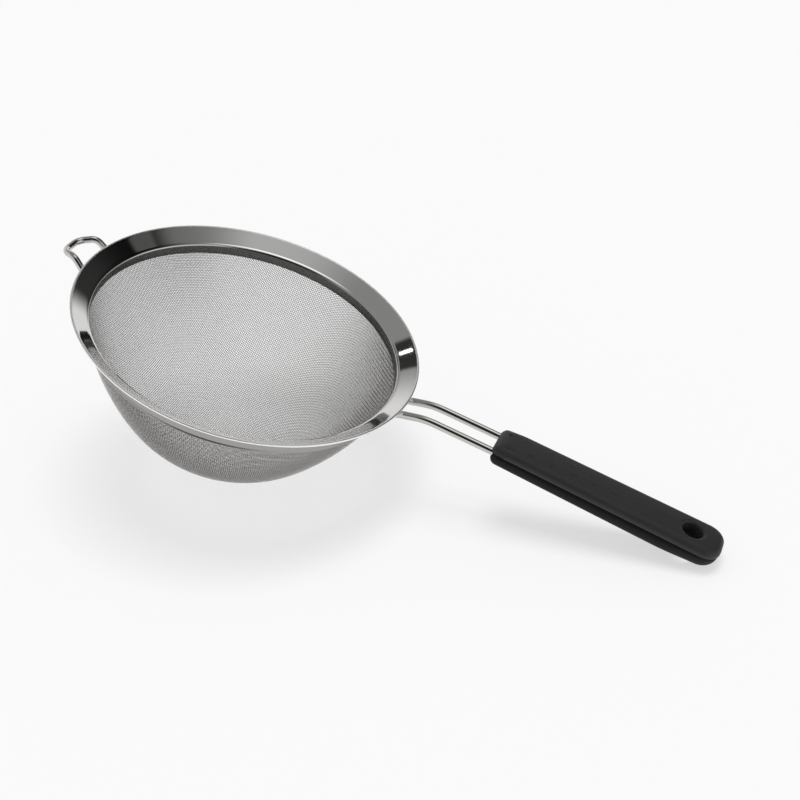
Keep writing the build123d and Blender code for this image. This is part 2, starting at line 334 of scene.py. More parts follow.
def rounded_line(corners, bends, step):
    """Points and headings along straight runs that are joined by tangent arcs.

    An arc starts bend * tan(turn / 2) before its corner, and at angle a along it lies
    bend * sin(a) ahead and bend * (1 - cos(a)) to the side."""
    corners = np.array(corners, float)
    heads = unit(np.diff(corners, axis=0))
    points = [corners[:1]]
    headings = [heads[:1]]
    for corner, bend, ahead, after in zip(corners[1:-1], bends, heads[:-1], heads[1:]):
        turn = np.arccos(np.clip(ahead @ after, -1, 1))
        start = corner - ahead * bend * np.tan(turn / 2)
        side = unit(after - ahead * (ahead @ after))
        a = np.linspace(0, turn, int(np.ceil(turn / step)) + 1)[:, None]
        points.append(start + bend * (np.sin(a) * ahead + (1 - np.cos(a)) * side))
        headings.append(np.cos(a) * ahead + np.sin(a) * side)
    points.append(corners[-1:])
    headings.append(heads[-1:])
    return np.concatenate(points), np.concatenate(headings)


def with_points_between(points, headings, longest):
    """The line with more points on its long runs: its own lengths along, joined with
    even ones a step apart, read off by linear interpolation."""
    along = np.append(0, np.cumsum(np.linalg.norm(np.diff(points, axis=0), axis=1)))
    even = np.linspace(0, along[-1], int(along[-1] / longest) + 2)
    near = np.abs(even[:, None] - along).min(axis=1) < longest / 2
    at = np.sort(np.concatenate([along, even[~near]]))
    read = lambda values: np.stack([np.interp(at, along, column) for column in values.T], axis=1)
    return read(points), unit(read(headings))


def grid_quads(rows, columns, closed_rows, closed_columns):
    """Quads of a grid of points numbered row by row, wrapped round where closed."""
    row, column = np.mgrid[:rows - (not closed_rows), :columns - (not closed_columns)]
    here = row * columns
    below = (row + 1) % rows * columns
    right = (column + 1) % columns
    corners = [here + column, here + right, below + right, below + column]
    return np.stack(corners, axis=-1).reshape(-1, 4)


def sheet_profile(line, thickness):
    """Closed outline of a sheet from its middle line: one side half a thickness to the
    left, the other to the right, and a half circle round each end."""
    points, headings = line
    left = np.stack([-headings[:, 1], headings[:, 0]], axis=1)
    a = np.arange(SHEET_END_STEP, pi - SHEET_END_STEP / 2, SHEET_END_STEP)[:, None]
    half = thickness / 2
    end = points[-1] + half * (np.cos(a) * left[-1] + np.sin(a) * headings[-1])
    start = points[0] - half * (np.cos(a) * left[0] + np.sin(a) * headings[0])
    return np.concatenate([points + half * left, end, (points - half * left)[::-1], start])


def revolved(profile, columns):
    """Closed surface: the profile, of radii and heights, carried round the bowl's axis."""
    cosine, sine = full_turn(columns)
    radius, height = profile.T
    points = np.stack([radius * cosine, radius * sine, height + 0 * cosine], axis=-1)
    return points.reshape(-1, 3), grid_quads(columns, len(profile), True, True)


def swept(points, headings, radius):
    """Round tube along a line: at each point a circle in the plane square to the heading,
    with rounded ends that shrink as the cosine while they reach out as the sine."""
    a = np.linspace(pi / 2, CAP_ANGLE, CAP_RINGS)
    reach = np.concatenate([-np.sin(a), np.zeros(len(points)), np.sin(a[::-1])]) * radius
    shrink = np.concatenate([np.cos(a), np.ones(len(points)), np.cos(a[::-1])])
    width = radius * np.maximum(shrink, CAP_FLAT)
    repeats = ((CAP_RINGS, CAP_RINGS), (0, 0))
    ahead = np.pad(headings, repeats, "edge")
    centres = np.pad(points, repeats, "edge") + ahead * reach[:, None]
    side = unit(np.cross(ahead, [0, 0, 1]))
    up = np.cross(side, ahead)
    cosine, sine = full_turn(ROD_SIDES)
    circle = cosine * side[:, None] + sine * up[:, None]
    rings = centres[:, None] + width[:, None, None] * circle
    count, first = len(centres), np.arange(ROD_SIDES)
    ends = np.stack([first[::-1], (count - 1) * ROD_SIDES + first])
    return rings.reshape(-1, 3), grid_quads(count, ROD_SIDES, False, True)[:, ::-1], ends[:, ::-1]


def add_piece(name, points, polygons, material, replaced):
    """Mesh object at the origin from points and arrays of polygons, smooth all over,
    riding on the strainer's body in place of a CAD node."""
    mesh = bpy.data.meshes.new(name)
    mesh.vertices.add(len(points))
    mesh.vertices.foreach_set("co", np.ascontiguousarray(points, np.float32).ravel())
    sizes = np.concatenate([np.full(len(p), p.shape[1]) for p in polygons])
    mesh.loops.add(int(sizes.sum()))
    corners = np.concatenate([p.ravel() for p in polygons])
    mesh.loops.foreach_set("vertex_index", corners.astype(np.int32))
    mesh.polygons.add(len(sizes))
    mesh.polygons.foreach_set("loop_start", (np.cumsum(sizes) - sizes).astype(np.int32))
    mesh.polygons.foreach_set("loop_total", sizes.astype(np.int32))
    mesh.polygons.foreach_set("use_smooth", np.ones(len(sizes), bool))
    mesh.update(calc_edges=True)
    mesh.validate()
    mesh.materials.append(material)
    piece = bpy.data.objects.new(name, mesh)
    bpy.context.scene.collection.objects.link(piece)
    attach(piece, BODY)
    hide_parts(replaced)


# Shader expressions


class Value:
    """A socket of a finish. Operators on it add Math nodes."""

    def __init__(self, finish, socket):
        self.finish = finish
        self.socket = socket

    def maths(self, operation, *values):
        """Math node on numbers or values, in their order."""
        return self.finish.node("ShaderNodeMath", {"operation": operation}, dict(enumerate(values)))

    def __add__(self, other):
        return self.maths("ADD", self, other)

    def __radd__(self, other):
        return self.maths("ADD", other, self)

    def __sub__(self, other):
        return self.maths("SUBTRACT", self, other)

    def __rsub__(self, other):
        return self.maths("SUBTRACT", other, self)

    def __mul__(self, other):
        return self.maths("MULTIPLY", self, other)

    def __rmul__(self, other):
        return self.maths("MULTIPLY", other, self)

    def __abs__(self):
        return self.maths("ABSOLUTE", self)

    def below(self, other):
        """1 where it is less than the other, else 0."""
        return self.maths("LESS_THAN", self, other)

    def larger(self, other):
        """The larger of the two."""
        return self.maths("MAXIMUM", self, other)


class Finish:
    """Node tree of a material or the world."""

    def __init__(self, tree):
        self.tree = tree
        tree.nodes.clear()

    def node(self, kind, settings=None, inputs=None, output=0):
        """Adds a node, sets it up, then gives its sockets their values or links."""
        node = self.tree.nodes.new(kind)
        for key, value in (settings or {}).items():
            setattr(node, key, value)
        for key, value in (inputs or {}).items():
            if isinstance(value, Value):
                self.tree.links.new(value.socket, node.inputs[key])
            else:
                node.inputs[key].default_value = value
        return Value(self, node.outputs[output] if len(node.outputs) else None)

    def vector(self, operation, *values, output=0):
        """Vector Math node."""
        inputs = dict(enumerate(values))
        return self.node("ShaderNodeVectorMath", {"operation": operation}, inputs, output)

    def place(self):
        """Object coordinates."""
        return self.node("ShaderNodeTexCoord", output="Object")

    def noise(self, scale, detail=2.0, roughness=0.5, place=None):
        """Noise from 0 to 1, in features of 1 / scale metres."""
        return self.node("ShaderNodeTexNoise", None, {
            "Vector": place or self.place(), "Scale": scale, "Detail": detail,
            "Roughness": roughness,
        })

    def stretched(self, scales, turn=(0, 0, 0), shift=(0, 0, 0)):
        """Object coordinates, moved, turned and scaled along each axis."""
        return self.node(
            "ShaderNodeMapping", {"vector_type": "TEXTURE"},
            {"Vector": self.place(), "Location": shift, "Rotation": turn, "Scale": scales},
        )

    def eased(self, value, low, high, at_low=0.0, at_high=1.0):
        """A value between two levels, easing from one to the other as it rises."""
        return self.node("ShaderNodeMapRange", {"interpolation_type": "SMOOTHSTEP"}, {
            "Value": value, "From Min": low, "From Max": high, "To Min": at_low, "To Max": at_high,
        })

    def mixed(self, factor, first, second):
        """Colour between two colours."""
        inputs = {"Factor": factor, 6: first, 7: second}
        return self.node("ShaderNodeMix", {"data_type": "RGBA"}, inputs, output=2)

    def bump(self, height, depth):
        """Normal from a height of 0 to 1 that is depth metres deep."""
        return self.node("ShaderNodeBump", None, {"Height": height, "Distance": depth})


def new_finish(name):
    """A material and its empty node tree."""
    material = bpy.data.materials.new(name)
    material.use_nodes = True
    return material, Finish(material.node_tree)


def surfaced(material, finish, inputs):
    """The material, its finish ended in a Principled shader with these inputs."""
    shader = finish.node("ShaderNodeBsdfPrincipled", None, inputs)
    finish.node("ShaderNodeOutputMaterial", None, {"Surface": shader})
    return material


def shade(rgb, factor=1.0):
    """A colour with alpha, each channel times the factor and at most 1."""
    return tuple(min(1.0, channel * factor) for channel in rgb) + (1.0,)


def bowl_place(finish, settings):
    """Distance from the bowl's axis, and height against the rim's top: object coordinates
    with the lean undone, as the length across the axis and the part along it."""
    lean, home = resting_place(settings)
    place = finish.stretched((1, 1, 1), (0, lean, 0), tuple(home))
    away = finish.vector("LENGTH", finish.vector("MULTIPLY", place, (1, 1, 0)), output="Value")
    return away, finish.node("ShaderNodeSeparateXYZ", None, {0: place}, "Z")


def polished_steel(name, base, roughness, ripple, settings=None):
    """Mirror finish: faint clouds in the polish, wipe marks and a slow ripple of the sheet.
    With the sizes given, the collar is rougher and painted dark, as painted shade in the
    ring's throat, and the folded lip is rougher and painted light, as a painted highlight."""
    material, finish = new_finish(name)
    clouds = finish.noise(22.0, 3.0)
    wipes = finish.noise(1.0, 4.0, 0.6, finish.stretched((0.0016, 0.02, 0.004)))
    polish = clouds * 0.5 + wipes * 0.5
    normal = finish.bump(finish.noise(60.0, 1.0), ripple)
    tint = finish.mixed(polish, shade(base, 0.96), shade(base, 1.03))
    rough = roughness + polish * (roughness * 0.8)
    if settings:
        edge = settings.rim.radius
        face = edge - settings.rim.flange_width
        away, _ = bowl_place(finish, settings)
        # Painted shade: the collar's tint goes dark, standing in for the shade in the ring's throat
        collar_shade = finish.eased(away, face + COLLAR_FADE[0], face + COLLAR_FADE[1], 1.0, 0.0)
        # Painted highlight: the folded lip's tint goes lighter, standing in for its bright
        # reflection
        lip = finish.eased(away, edge - LIP_FADE[0], edge - LIP_FADE[1])
        tint = finish.mixed(collar_shade, tint, shade(base, COLLAR_PAINTED_SHADE))
        tint = finish.mixed(lip, tint, shade(base, LIP_PAINTED_HIGHLIGHT))
        rough = rough + collar_shade * COLLAR_DULLNESS + lip * LIP_DULLNESS
    return surfaced(material, finish, {
        "Base Color": tint, "Metallic": 1.0, "Roughness": rough, "Normal": normal,
    })


def satin_steel(name, base):
    """Rolled sheet: fine streaks along the ring and a soft shine."""
    material, finish = new_finish(name)
    streaks = finish.noise(1.0, 3.0, 0.6, finish.stretched((0.006, 0.006, 0.0003)))
    return surfaced(material, finish, {
        "Base Color": finish.mixed(streaks, shade(base, 0.9), shade(base, 1.08)),
        "Metallic": 1.0,
        "Roughness": 0.24 + streaks * 0.12,
        "Normal": finish.bump(streaks, 0.00002),
    })


def off_cloth(finish, settings):
    """Distance from the cloth's middle surface, inwards or outwards: from the bottom arc
    below the joint of the two arcs, from the side arc above it. The upright edge, which
    collar and band hide, is left out."""
    side, side_radius, bottom, bottom_radius, _ = bowl_section(settings)
    joint = bottom[1] + bottom_radius * unit(bottom - side)[1]
    away, height = bowl_place(finish, settings)
    flat = finish.node("ShaderNodeCombineXYZ", None, {0: away, 1: height})
    reach = lambda x, z: finish.vector("DISTANCE", flat, (x, z, 0), output="Value")
    upper = reach(*side) - side_radius
    lower = reach(*bottom) - bottom_radius
    return abs(upper + height.below(joint) * (lower - upper))


def drawn_wire(name, base, settings):
    """Drawn wire: painted dark where it dips under another, as painted shade between the
    wires, and rougher there; bright where it crosses over, and slightly uneven from place
    to place."""
    material, finish = new_finish(name)
    wire = settings.mesh.wire
    patches = finish.noise(140.0, 2.0)
    # Painted shade: where the wire dips under a crossing wire its tint goes dark, and where it
    # crests over one it keeps its own tint
    crest = finish.eased(off_cloth(finish, settings), wire * DIP_PAINTED_SHADE, wire * CREST_UNSHADED)
    tint = finish.mixed(patches, shade(base, 0.92), shade(base, 1.08))
    return surfaced(material, finish, {
        "Base Color": finish.mixed(crest, shade(base, 0.15), tint),
        "Metallic": 0.65,
        "Roughness": 0.34 - crest * 0.14,
    })


def moulded_black(name, base, roughness, depth, shine):
    """Matte moulding: fine grain of the given depth, faint handling marks."""
    material, finish = new_finish(name)
    grain = finish.noise(2400.0, 2.0, 0.6)
    marks = finish.noise(55.0, 4.0, 0.6)
    return surfaced(material, finish, {
        "Base Color": finish.mixed(marks, shade(base, 0.88), shade(base, 1.12)),
        "Roughness": roughness + marks * 0.08,
        "Specular IOR Level": shine,
        "Normal": finish.bump(grain, depth),
    })


# Rim and band


def lip_fold(rim):
    """Radius of the lip's fold at the middle of its sheet, which is half of a sheet and
    the hem's gap together, and at its outside, which is half a sheet more."""
    middle = (rim.sheet + rim.hem_gap) / 2
    return middle, middle + rim.sheet / 2


def flange_underside(radius, rim):
    """Height of the flange's lower face at a distance from the bowl's axis: it falls
    inwards at the flange's angle from its point square above the middle of the fold."""
    lip = lip_fold(rim)[1]
    below = lip - rim.sheet
    foot_radius = rim.radius - lip - sin(rim.flange_angle) * below
    foot_height = -lip + cos(rim.flange_angle) * below
    return foot_height - (foot_radius - radius) * tan(rim.flange_angle)


def rim_profile(rim):
    """Sheet outline of the ring: collar up, tight bend, narrow bead, flange out, lip
    folded under in a half circle and carried back by the hem's width."""
    hem_middle, lip = lip_fold(rim)
    climb = np.array([cos(rim.flange_angle), sin(rim.flange_angle)])
    across = np.array([-climb[1], climb[0]])
    lip_centre = np.array([rim.radius - lip, -lip])
    start = lip_centre + across * hem_middle
    middle = rim.radius - rim.flange_width + rim.sheet / 2
    shelf = middle + rim.shelf_width
    shelf_top = start[1] - (start[0] - shelf) * tan(rim.flange_angle)
    line = [
        (middle, -rim.collar_depth + rim.sheet / 2),
        (middle, shelf_top - rim.shelf_width * tan(rim.shelf_angle)),
        (shelf, shelf_top),
        start,
    ]
    bent = rounded_line(line, [rim.throat_bend, rim.shelf_bend], RIM_STEP)
    points, headings = with_points_between(*bent, LONGEST_RIM_RUN)
    a = np.arange(RIM_STEP, pi + RIM_STEP / 2, RIM_STEP)[:, None]
    fold = lip_centre + hem_middle * (np.sin(a) * climb + np.cos(a) * across)
    fold_heading = np.cos(a) * climb - np.sin(a) * across
    hem = fold[-1:] - climb * rim.hem_width
    points = np.concatenate([points, fold, hem])
    headings = np.concatenate([headings, fold_heading, fold_heading[-1:]])
    return sheet_profile((points, headings), rim.sheet)


def mesh_radii(settings):
    """Inner and outer radius of the cloth between collar and band: the collar's outside
    and the seat gap, then the cloth's thickness more."""
    rim = settings.rim
    inner = rim.radius - rim.flange_width + rim.sheet + rim.seat_gap
    return inner, inner + settings.mesh.thickness


def band_profile(settings):
    """Sheet outline of the band: straight, a seat gap off the cloth, with a flared lower
    edge."""
    rim = settings.rim
    outer = mesh_radii(settings)[1]
    middle = outer + rim.seat_gap + rim.band_sheet / 2
    top = flange_underside(outer, rim) - rim.throat_bend - rim.band_sheet
    bottom = -rim.collar_depth - rim.band_cover
    flared = (middle + rim.band_flare, bottom + rim.band_sheet / 2)
    line = [(middle, top), (middle, bottom + rim.flare_height), flared]
    return sheet_profile(rounded_line(line, [rim.flare_height], BAND_STEP), rim.band_sheet)


# Woven bowl


def bowl_section(settings):
    """Centre and radius of the side arc and of the bottom arc of the cloth's middle
    surface, which are tangent, and the radius of the upright edge above them. The bottom
    arc is centred on the axis, and both pass half a thickness inside the cloth's outside.

    The side arc's centre is where two circles cross: one of the side's radius round the
    collar's lower edge, one of the difference of the radii round the bottom arc's centre."""
    outer = mesh_radii(settings)[1]
    mesh = settings.mesh
    bottom_radius = outer - mesh.bottom_drawn_in
    bottom = np.array([0, bottom_radius - mesh.depth])
    start = np.array([outer, -settings.rim.collar_depth])
    apart = mesh.side_radius - bottom_radius
    span = np.linalg.norm(start - bottom)
    along = (apart**2 - mesh.side_radius**2 + span**2) / (2 * span)
    ahead = (start - bottom) / span
    side = bottom + ahead * along + np.array([-ahead[1], ahead[0]]) * sqrt(apart**2 - along**2)
    half = mesh.thickness / 2
    return side, mesh.side_radius - half, bottom, bottom_radius - half, outer - half


def off_bowl(points, section):
    """How far points lie outside the cloth's middle surface, and the way outwards.

    Below the joint the distance is measured from the bottom arc's centre, above it from
    the side arc's, and above the side arc from the upright wall."""
    side, side_radius, bottom, bottom_radius, wall = section
    radius = np.linalg.norm(points[..., :2], axis=-1)
    flat = np.stack([radius, points[..., 2]], axis=-1)
    from_side = flat - side
    from_bottom = flat - bottom
    away = unit(bottom - side)
    low = away[0] * from_side[..., 1] - away[1] * from_side[..., 0] < 0
    high = points[..., 2] > side[1] - sqrt(side_radius**2 - (wall - side[0]) ** 2)
    distances = np.select(
        [low, high],
        [np.linalg.norm(from_bottom, axis=-1) - bottom_radius, radius - wall],
        np.linalg.norm(from_side, axis=-1) - side_radius,
    )
    upper_slope = np.where(high[..., None], [1.0, 0.0], unit(from_side))
    slope = np.where(low[..., None], unit(from_bottom), upper_slope)
    round_axis = points[..., :2] / np.maximum(radius, 1e-9)[..., None]
    return distances, np.concatenate([round_axis * slope[..., :1], slope[..., 1:]], axis=-1)


def knot(first, second, guess, pitch, section):
    """Points one pitch from each of two others and on the bowl, by Newton's method."""
    for _ in range(NEWTON_STEPS):
        off, outwards = off_bowl(guess, section)
        to_first = guess - first
        to_second = guess - second
        rates = np.stack([2 * to_first, 2 * to_second, outwards], axis=-2)
        squares = [(way**2).sum(-1) - pitch**2 for way in (to_first, to_second)]
        errors = np.stack([*squares, off], axis=-1)[..., None]
        guess = guess - np.linalg.solve(rates, errors)[..., 0]
    return guess


def quarter_net(settings, count):
    """Crossings of a quarter of the cloth, drawn over the bowl as a net of rigid links.

    The two middle wires follow meridians with even steps. Every other crossing lies one
    pitch from its two neighbours nearer the middle, so the cells shear into diamonds
    between the wires' headings, as pressed wire cloth does. A diagonal of crossings is
    worked out at a time."""
    pitch = settings.mesh.pitch
    section = bowl_section(settings)
    side, side_radius, bottom, bottom_radius, wall = section
    joint = atan2(*(unit(bottom - side) * [1, -1]))
    bottom_step, side_step = (2 * np.arcsin(pitch / 2 / r) for r in (bottom_radius, side_radius))
    steps = np.arange(count + 1)
    arc = steps * bottom_step
    side_turn = joint + np.maximum(steps - joint / bottom_step, 0) * side_step
    on_arc = lambda centre, radius, a: centre + radius * np.stack([np.sin(a), -np.cos(a)], axis=1)
    on_bottom = on_arc(bottom, bottom_radius, arc)
    meridian = np.where((arc < joint)[:, None], on_bottom, on_arc(side, side_radius, side_turn))
    high = meridian[:, 0] > wall
    rise = np.cumsum(high) * pitch
    meridian[high, 0] = wall
    meridian[high, 1] = meridian[~high, 1].max() + rise[high]
    net = np.full((count + 1, count + 1, 3), np.nan)
    net[:, 0] = np.stack([meridian[:, 0], 0 * arc, meridian[:, 1]], axis=1)
    net[0, :] = net[:, 0][:, [1, 0, 2]]
    for diagonal in range(2, 2 * count + 1):
        i = np.arange(max(1, diagonal - count), min(count, diagonal - 1) + 1)
        j = diagonal - i
        first, second, last = net[i - 1, j], net[i, j - 1], net[i - 1, j - 1]
        there = (first[:, 2] < 0) & (second[:, 2] < 0)
        i, j, first, second, last = i[there], j[there], first[there], second[there], last[there]
        if len(i):
            net[i, j] = knot(first, second, first + second - last, pitch, section)
    return net


def whole_net(settings):
    """Crossings of the whole cloth: the quarter, mirrored across both middle wires."""
    count = int(pi * settings.mesh.depth / 2 / settings.mesh.pitch)
    quarter = quarter_net(settings, count)
    index = np.arange(-count, count + 1)
    net = quarter[np.abs(index)[:, None], np.abs(index)]
    net[..., 0] *= np.sign(index)[:, None]
    net[..., 1] *= np.sign(index)
    return net


def wires(net, outwards, over, keep, radius):
    """Wires along the second axis of a net, as tubes with closed ends.

    At each crossing the wire's middle stands off the cloth's middle surface by its own
    radius, outwards or inwards by turns, so that it passes over and under."""
    ahead = np.full_like(net, np.nan)
    ahead[:, 1:-1] = net[:, 2:] - net[:, :-2]
    here = keep & np.isfinite(ahead[..., 0])
    centre = (net + outwards * (over * radius)[..., None])[here]
    along = unit(ahead[here])
    out = outwards[here]
    across = unit(np.cross(along, out))
    cosine, sine = full_turn(WIRE_SIDES)
    rings = centre[:, None] + radius * (cosine * out[:, None] + sine * across[:, None])
    number = np.full(here.shape, -1)
    number[here] = np.arange(len(centre))
    begin, end = number[:, :-1], number[:, 1:]
    both = (begin >= 0) & (end >= 0)
    ring = lambda numbers: numbers[:, None] * WIRE_SIDES
    a, b = ring(begin[both]), ring(end[both])
    k = np.arange(WIRE_SIDES)
    after = (k + 1) % WIRE_SIDES
    quads = np.stack([a + k, a + after, b + after, b + k], axis=-1).reshape(-1, 4)
    starts = ring(end[(begin < 0) & (end >= 0)]) + k[::-1]
    stops = ring(begin[(begin >= 0) & (end < 0)]) + k
    return rings.reshape(-1, 3), quads[:, ::-1], np.concatenate([starts, stops])[:, ::-1]


# Handle frame and loop


def mirrored(points):
    """The points, then their images across the handle's plane in reverse order."""
    return points + [(x, -y, z) for x, y, z in reversed(points)]


def rod_line(settings):
    """Middle line of the hairpin: foot along the rim, dip, level run, U, and back.

    The foot is an arc of a circle inside the lip, made as the rounded corner between the
    circle's tangents at both ends of the foot. The nearer tangent goes on to the run's
    line. The foot's middle lies below the flange by the rod's radius, less the weld's
    sink, over the cosine of the flange's angle."""
    rim, rod = settings.rim, settings.rod
    circle = rim.radius - rod.foot_inside_lip
    half = rod.spacing / 2
    first = np.arcsin((half + rod.foot_turn) / circle)
    quarter = rod.foot_length / circle / 2
    last = first + 2 * quarter
    level = flange_underside(circle, rim) - (rod.radius - rod.weld_sink) / cos(rim.flange_angle)
    tip = rod.foot_tip
    corner = circle / cos(quarter)
    back = (half - circle * sin(first)) / cos(first)
    points = [
        (circle * cos(last) - sin(last) * tip, circle * sin(last) + cos(last) * tip, level),
        (corner * cos(first + quarter), corner * sin(first + quarter), level),
        (circle * cos(first) - back * sin(first), half, level),
        (rim.radius + rod.dip_past_lip, half, rod.level),
        (grip_front(settings) + rod.hairpin_in_grip - rod.radius, half, rod.level),
    ]
    bends = [circle, rod.foot_bend, rod.dip_bend, rod.hairpin_bend]
    return rounded_line(mirrored(points), bends + bends[::-1], ROD_STEP)


def loop_line(settings):
    """Middle line of the rest loop: from under the flange up round the lip, over a
    crest, down to the far side, and back.

    The legs start under the flange as the rod's feet lie, and pass the hem, whose lower
    face falls inwards at the flange's angle, at a clearance."""
    rim, loop = settings.rim, settings.loop
    lip = lip_fold(rim)[1]
    start = rim.radius - loop.start_inside_lip
    below_lip = rim.radius - loop.under_lip
    sunk = (loop.radius - settings.rod.weld_sink) / cos(rim.flange_angle)
    start_level = flange_underside(hypot(start, loop.spacing / 2), rim) - sunk
    hem_radius = rim.radius - lip + sin(rim.flange_angle) * lip
    hem_height = -lip - cos(rim.flange_angle) * lip
    lip_distance = min(hypot(below_lip, loop.spacing / 2), rim.radius - lip)
    hem_level = hem_height - (hem_radius - lip_distance) * tan(rim.flange_angle)
    points = [
        (-start, loop.spacing / 2, start_level),
        (-below_lip, loop.spacing / 2, hem_level - loop.lip_clearance - loop.radius),
        (-rim.radius - loop.crest_past_lip, loop.crest_spacing / 2, loop.crest_height),
        (-rim.radius - loop.past_lip, loop.corner_spacing / 2, -loop.drop),
    ]
    bends = [loop.lip_bend, loop.crest_bend, loop.corner_bend]
    return rounded_line(mirrored(points), bends + bends[::-1], ROD_STEP)


# Grip


def grip_outline(settings):
    """Plan outline of the grip, with the way inwards at each point: a tapered
    rectangle with rounded corners, from the middle of the front and back to it."""
    grip = settings.grip
    x0 = grip_front(settings)
    x1 = x0 + grip.length
    front, tail = grip.front_width / 2, grip.tail_width / 2
    corners = [(x0, 0), (x0, -front), (x1, -tail), (x1, tail), (x0, front), (x0, 0)]
    bends = [grip.front_corner, grip.tail_corner, grip.tail_corner, grip.front_corner]
    line = rounded_line(corners, bends, OUTLINE_STEP)
    points, headings = with_points_between(*line, LONGEST_OUTLINE_RUN)
    inwards = np.stack([-headings[:, 1], headings[:, 0]], axis=1)
    return points[:-1], inwards[:-1]


def fading(distance, length):
    """1 at no distance, easing to 0 at a length: the square of the share that is left,
    times 3 less twice that share."""
    share = np.clip(1 - distance / length, 0, 1)
    return share**2 * (3 - 2 * share)


class GripRows:
    """Rows of a grip piece. Each row is a closed line round the hang hole, and a column
    joins the point of the outline to the point of the hole that faces it."""

    def __init__(self, settings):
        self.settings = settings
        self.grip = settings.grip
        self.outline, self.inwards = grip_outline(settings)
        self.hole = np.array([hole_along(settings), 0.0])
        self.to_rim = unit(self.outline - self.hole)
        self.rows = []

    def plane(self, flat, drop):
        """Heights below the flat plane of the top."""
        return height_at(self.grip.front_top, self.grip.tail_top, flat[:, 0], self.settings) - drop

    def top(self, flat, drop):
        """Heights below the crowned top: the crown falls as the square of the distance
        from the middle line."""
        fall = (flat[:, 1] / (self.grip.tail_width / 2)) ** 2
        return self.plane(flat, drop) - self.grip.crown * fall

    def bottom(self, flat, rise):
        """Heights above the body's underside, which stands in from the grip's."""
        grip = self.grip
        plane = height_at(grip.front_bottom, grip.tail_bottom, flat[:, 0], self.settings)
        return plane + grip.body_inset + rise

    def shoulder(self):
        """Width and height of the shoulder at each point of the outline: the front's own,
        fading to the sides' over the blend's length."""
        grip = self.grip
        share = fading(self.outline[:, 0] - grip_front(self.settings), grip.front_blend)
        width = grip.top_round + (grip.front_reach - grip.top_round) * share
        return width, grip.shoulder_drop + (grip.front_drop - grip.shoulder_drop) * share

    def lower_edge(self):
        """Radius of the lower edge at each point of the outline: the tail's own, fading to
        the sides' over the tail's length."""
        grip = self.grip
        tail = grip_front(self.settings) + grip.length
        share = fading(tail - self.outline[:, 0], grip.tail_round_length)
        return grip.bottom_round + (grip.tail_round - grip.bottom_round) * share

    def add(self, flat, height, amount):
        """Row over plan points, its heights from one of the methods above."""
        self.rows.append(np.column_stack([flat, height(flat, amount)]))

    def inset(self, distance, height, amount):
        """Row drawn in from the outline by a distance."""
        self.add(self.outline + self.inwards * distance, height, amount)

    def around(self, radius, height, amount):
        """Row round the hole at a radius."""
        self.add(self.hole + self.to_rim * radius, height, amount)

    def across(self, inset, radius, shares, height, amount):
        """Rows between the outline's inset and the hole's mouth, by straight shares."""
        rim = self.outline + self.inwards * inset
        mouth = self.hole + self.to_rim * radius
        for part in shares:
            self.add(rim + (mouth - rim) * part, height, amount)

    def closed(self):
        """Points and quads of the rows joined into a ring."""
        points = np.stack(self.rows)
        rows, columns = points.shape[:2]
        return points.reshape(-1, 3), grid_quads(rows, columns, True, True)


def quarter_turn(count):
    """Sines and cosines of the angles from 0 to a right angle."""
    a = np.linspace(0, pi / 2, count)
    return list(zip(np.sin(a), np.cos(a)))


def cover_surface(settings):
    """Soft cover, row by row: outer side, shoulder, crowned top, mouth of the hole, its
    wall, and back under the top and down the inner side to the bevelled lower edge."""
    rows = GripRows(settings)
    grip = settings.grip
    for across, up in BEVEL:
        rows.inset(grip.groove * across, rows.plane, grip.parting - grip.groove * up)
    shoulder, drop = rows.shoulder()
    for rise, reach in quarter_turn(SHOULDER_ROWS):
        rows.inset(shoulder[:, None] * (1 - reach), rows.top, drop * (1 - rise))
    mouth = grip.hole_radius + grip.hole_top_round
    rows.across(shoulder[:, None], mouth, CROSS_SHARES, rows.top, 0)
    for rise, reach in quarter_turn(TOP_MOUTH_ROWS):
        rows.around(mouth - grip.hole_top_round * rise, rows.top, grip.hole_top_round * (1 - reach))
    rows.around(grip.hole_radius, rows.plane, grip.cover_top)
    rows.across(grip.cover_wall, grip.hole_radius, CROSS_SHARES[::-1], rows.plane, grip.cover_top)
    rows.inset(grip.cover_wall, rows.plane, grip.cover_top)
    rows.inset(grip.cover_wall, rows.plane, grip.parting)
    return rows.closed()


def body_surface(settings):
    """Rigid body, row by row: outer side down, rounded lower edge, underside, lower
    mouth of the hole, its wall up to the tongue, the tongue's top and side. The last row
    joins the first across the ledge."""
    rows = GripRows(settings)
    grip = settings.grip
    tongue = grip.cover_wall + grip.mould_gap
    deep = grip.cover_top + grip.mould_gap
    edge = grip.body_inset
    radius = rows.lower_edge()
    rows.inset(edge, rows.plane, grip.parting + grip.mould_gap)
    for fall, reach in quarter_turn(LOWER_EDGE_ROWS):
        rows.inset(edge + radius[:, None] * (1 - reach), rows.bottom, radius * (1 - fall))
    mouth = grip.hole_radius + grip.hole_bottom_round
    rows.across(edge + radius[:, None], mouth, CROSS_SHARES, rows.bottom, 0)
    bend = grip.hole_bottom_round
    for fall, reach in quarter_turn(LOWER_MOUTH_ROWS):
        rows.around(mouth - bend * fall, rows.bottom, bend * (1 - reach))
    rows.around(grip.hole_radius, rows.plane, deep)
    rows.across(tongue, grip.hole_radius, CROSS_SHARES[::-1], rows.plane, deep)
    rows.inset(tongue, rows.plane, deep)
    rows.inset(tongue, rows.plane, grip.parting + grip.mould_gap)
    return rows.closed()


# Stage


def add_floor(material):
    """Square floor, which isn't part of the strainer."""
    half = FLOOR_HALF
    corners = [(-half, -half, 0), (half, -half, 0), (half, half, 0), (-half, half, 0)]
    mesh = bpy.data.meshes.new("floor")
    mesh.from_pydata(corners, [], [(0, 1, 2, 3)])
    mesh.materials.append(material)
    thing = bpy.data.objects.new("floor", mesh)
    bpy.context.scene.collection.objects.link(thing)


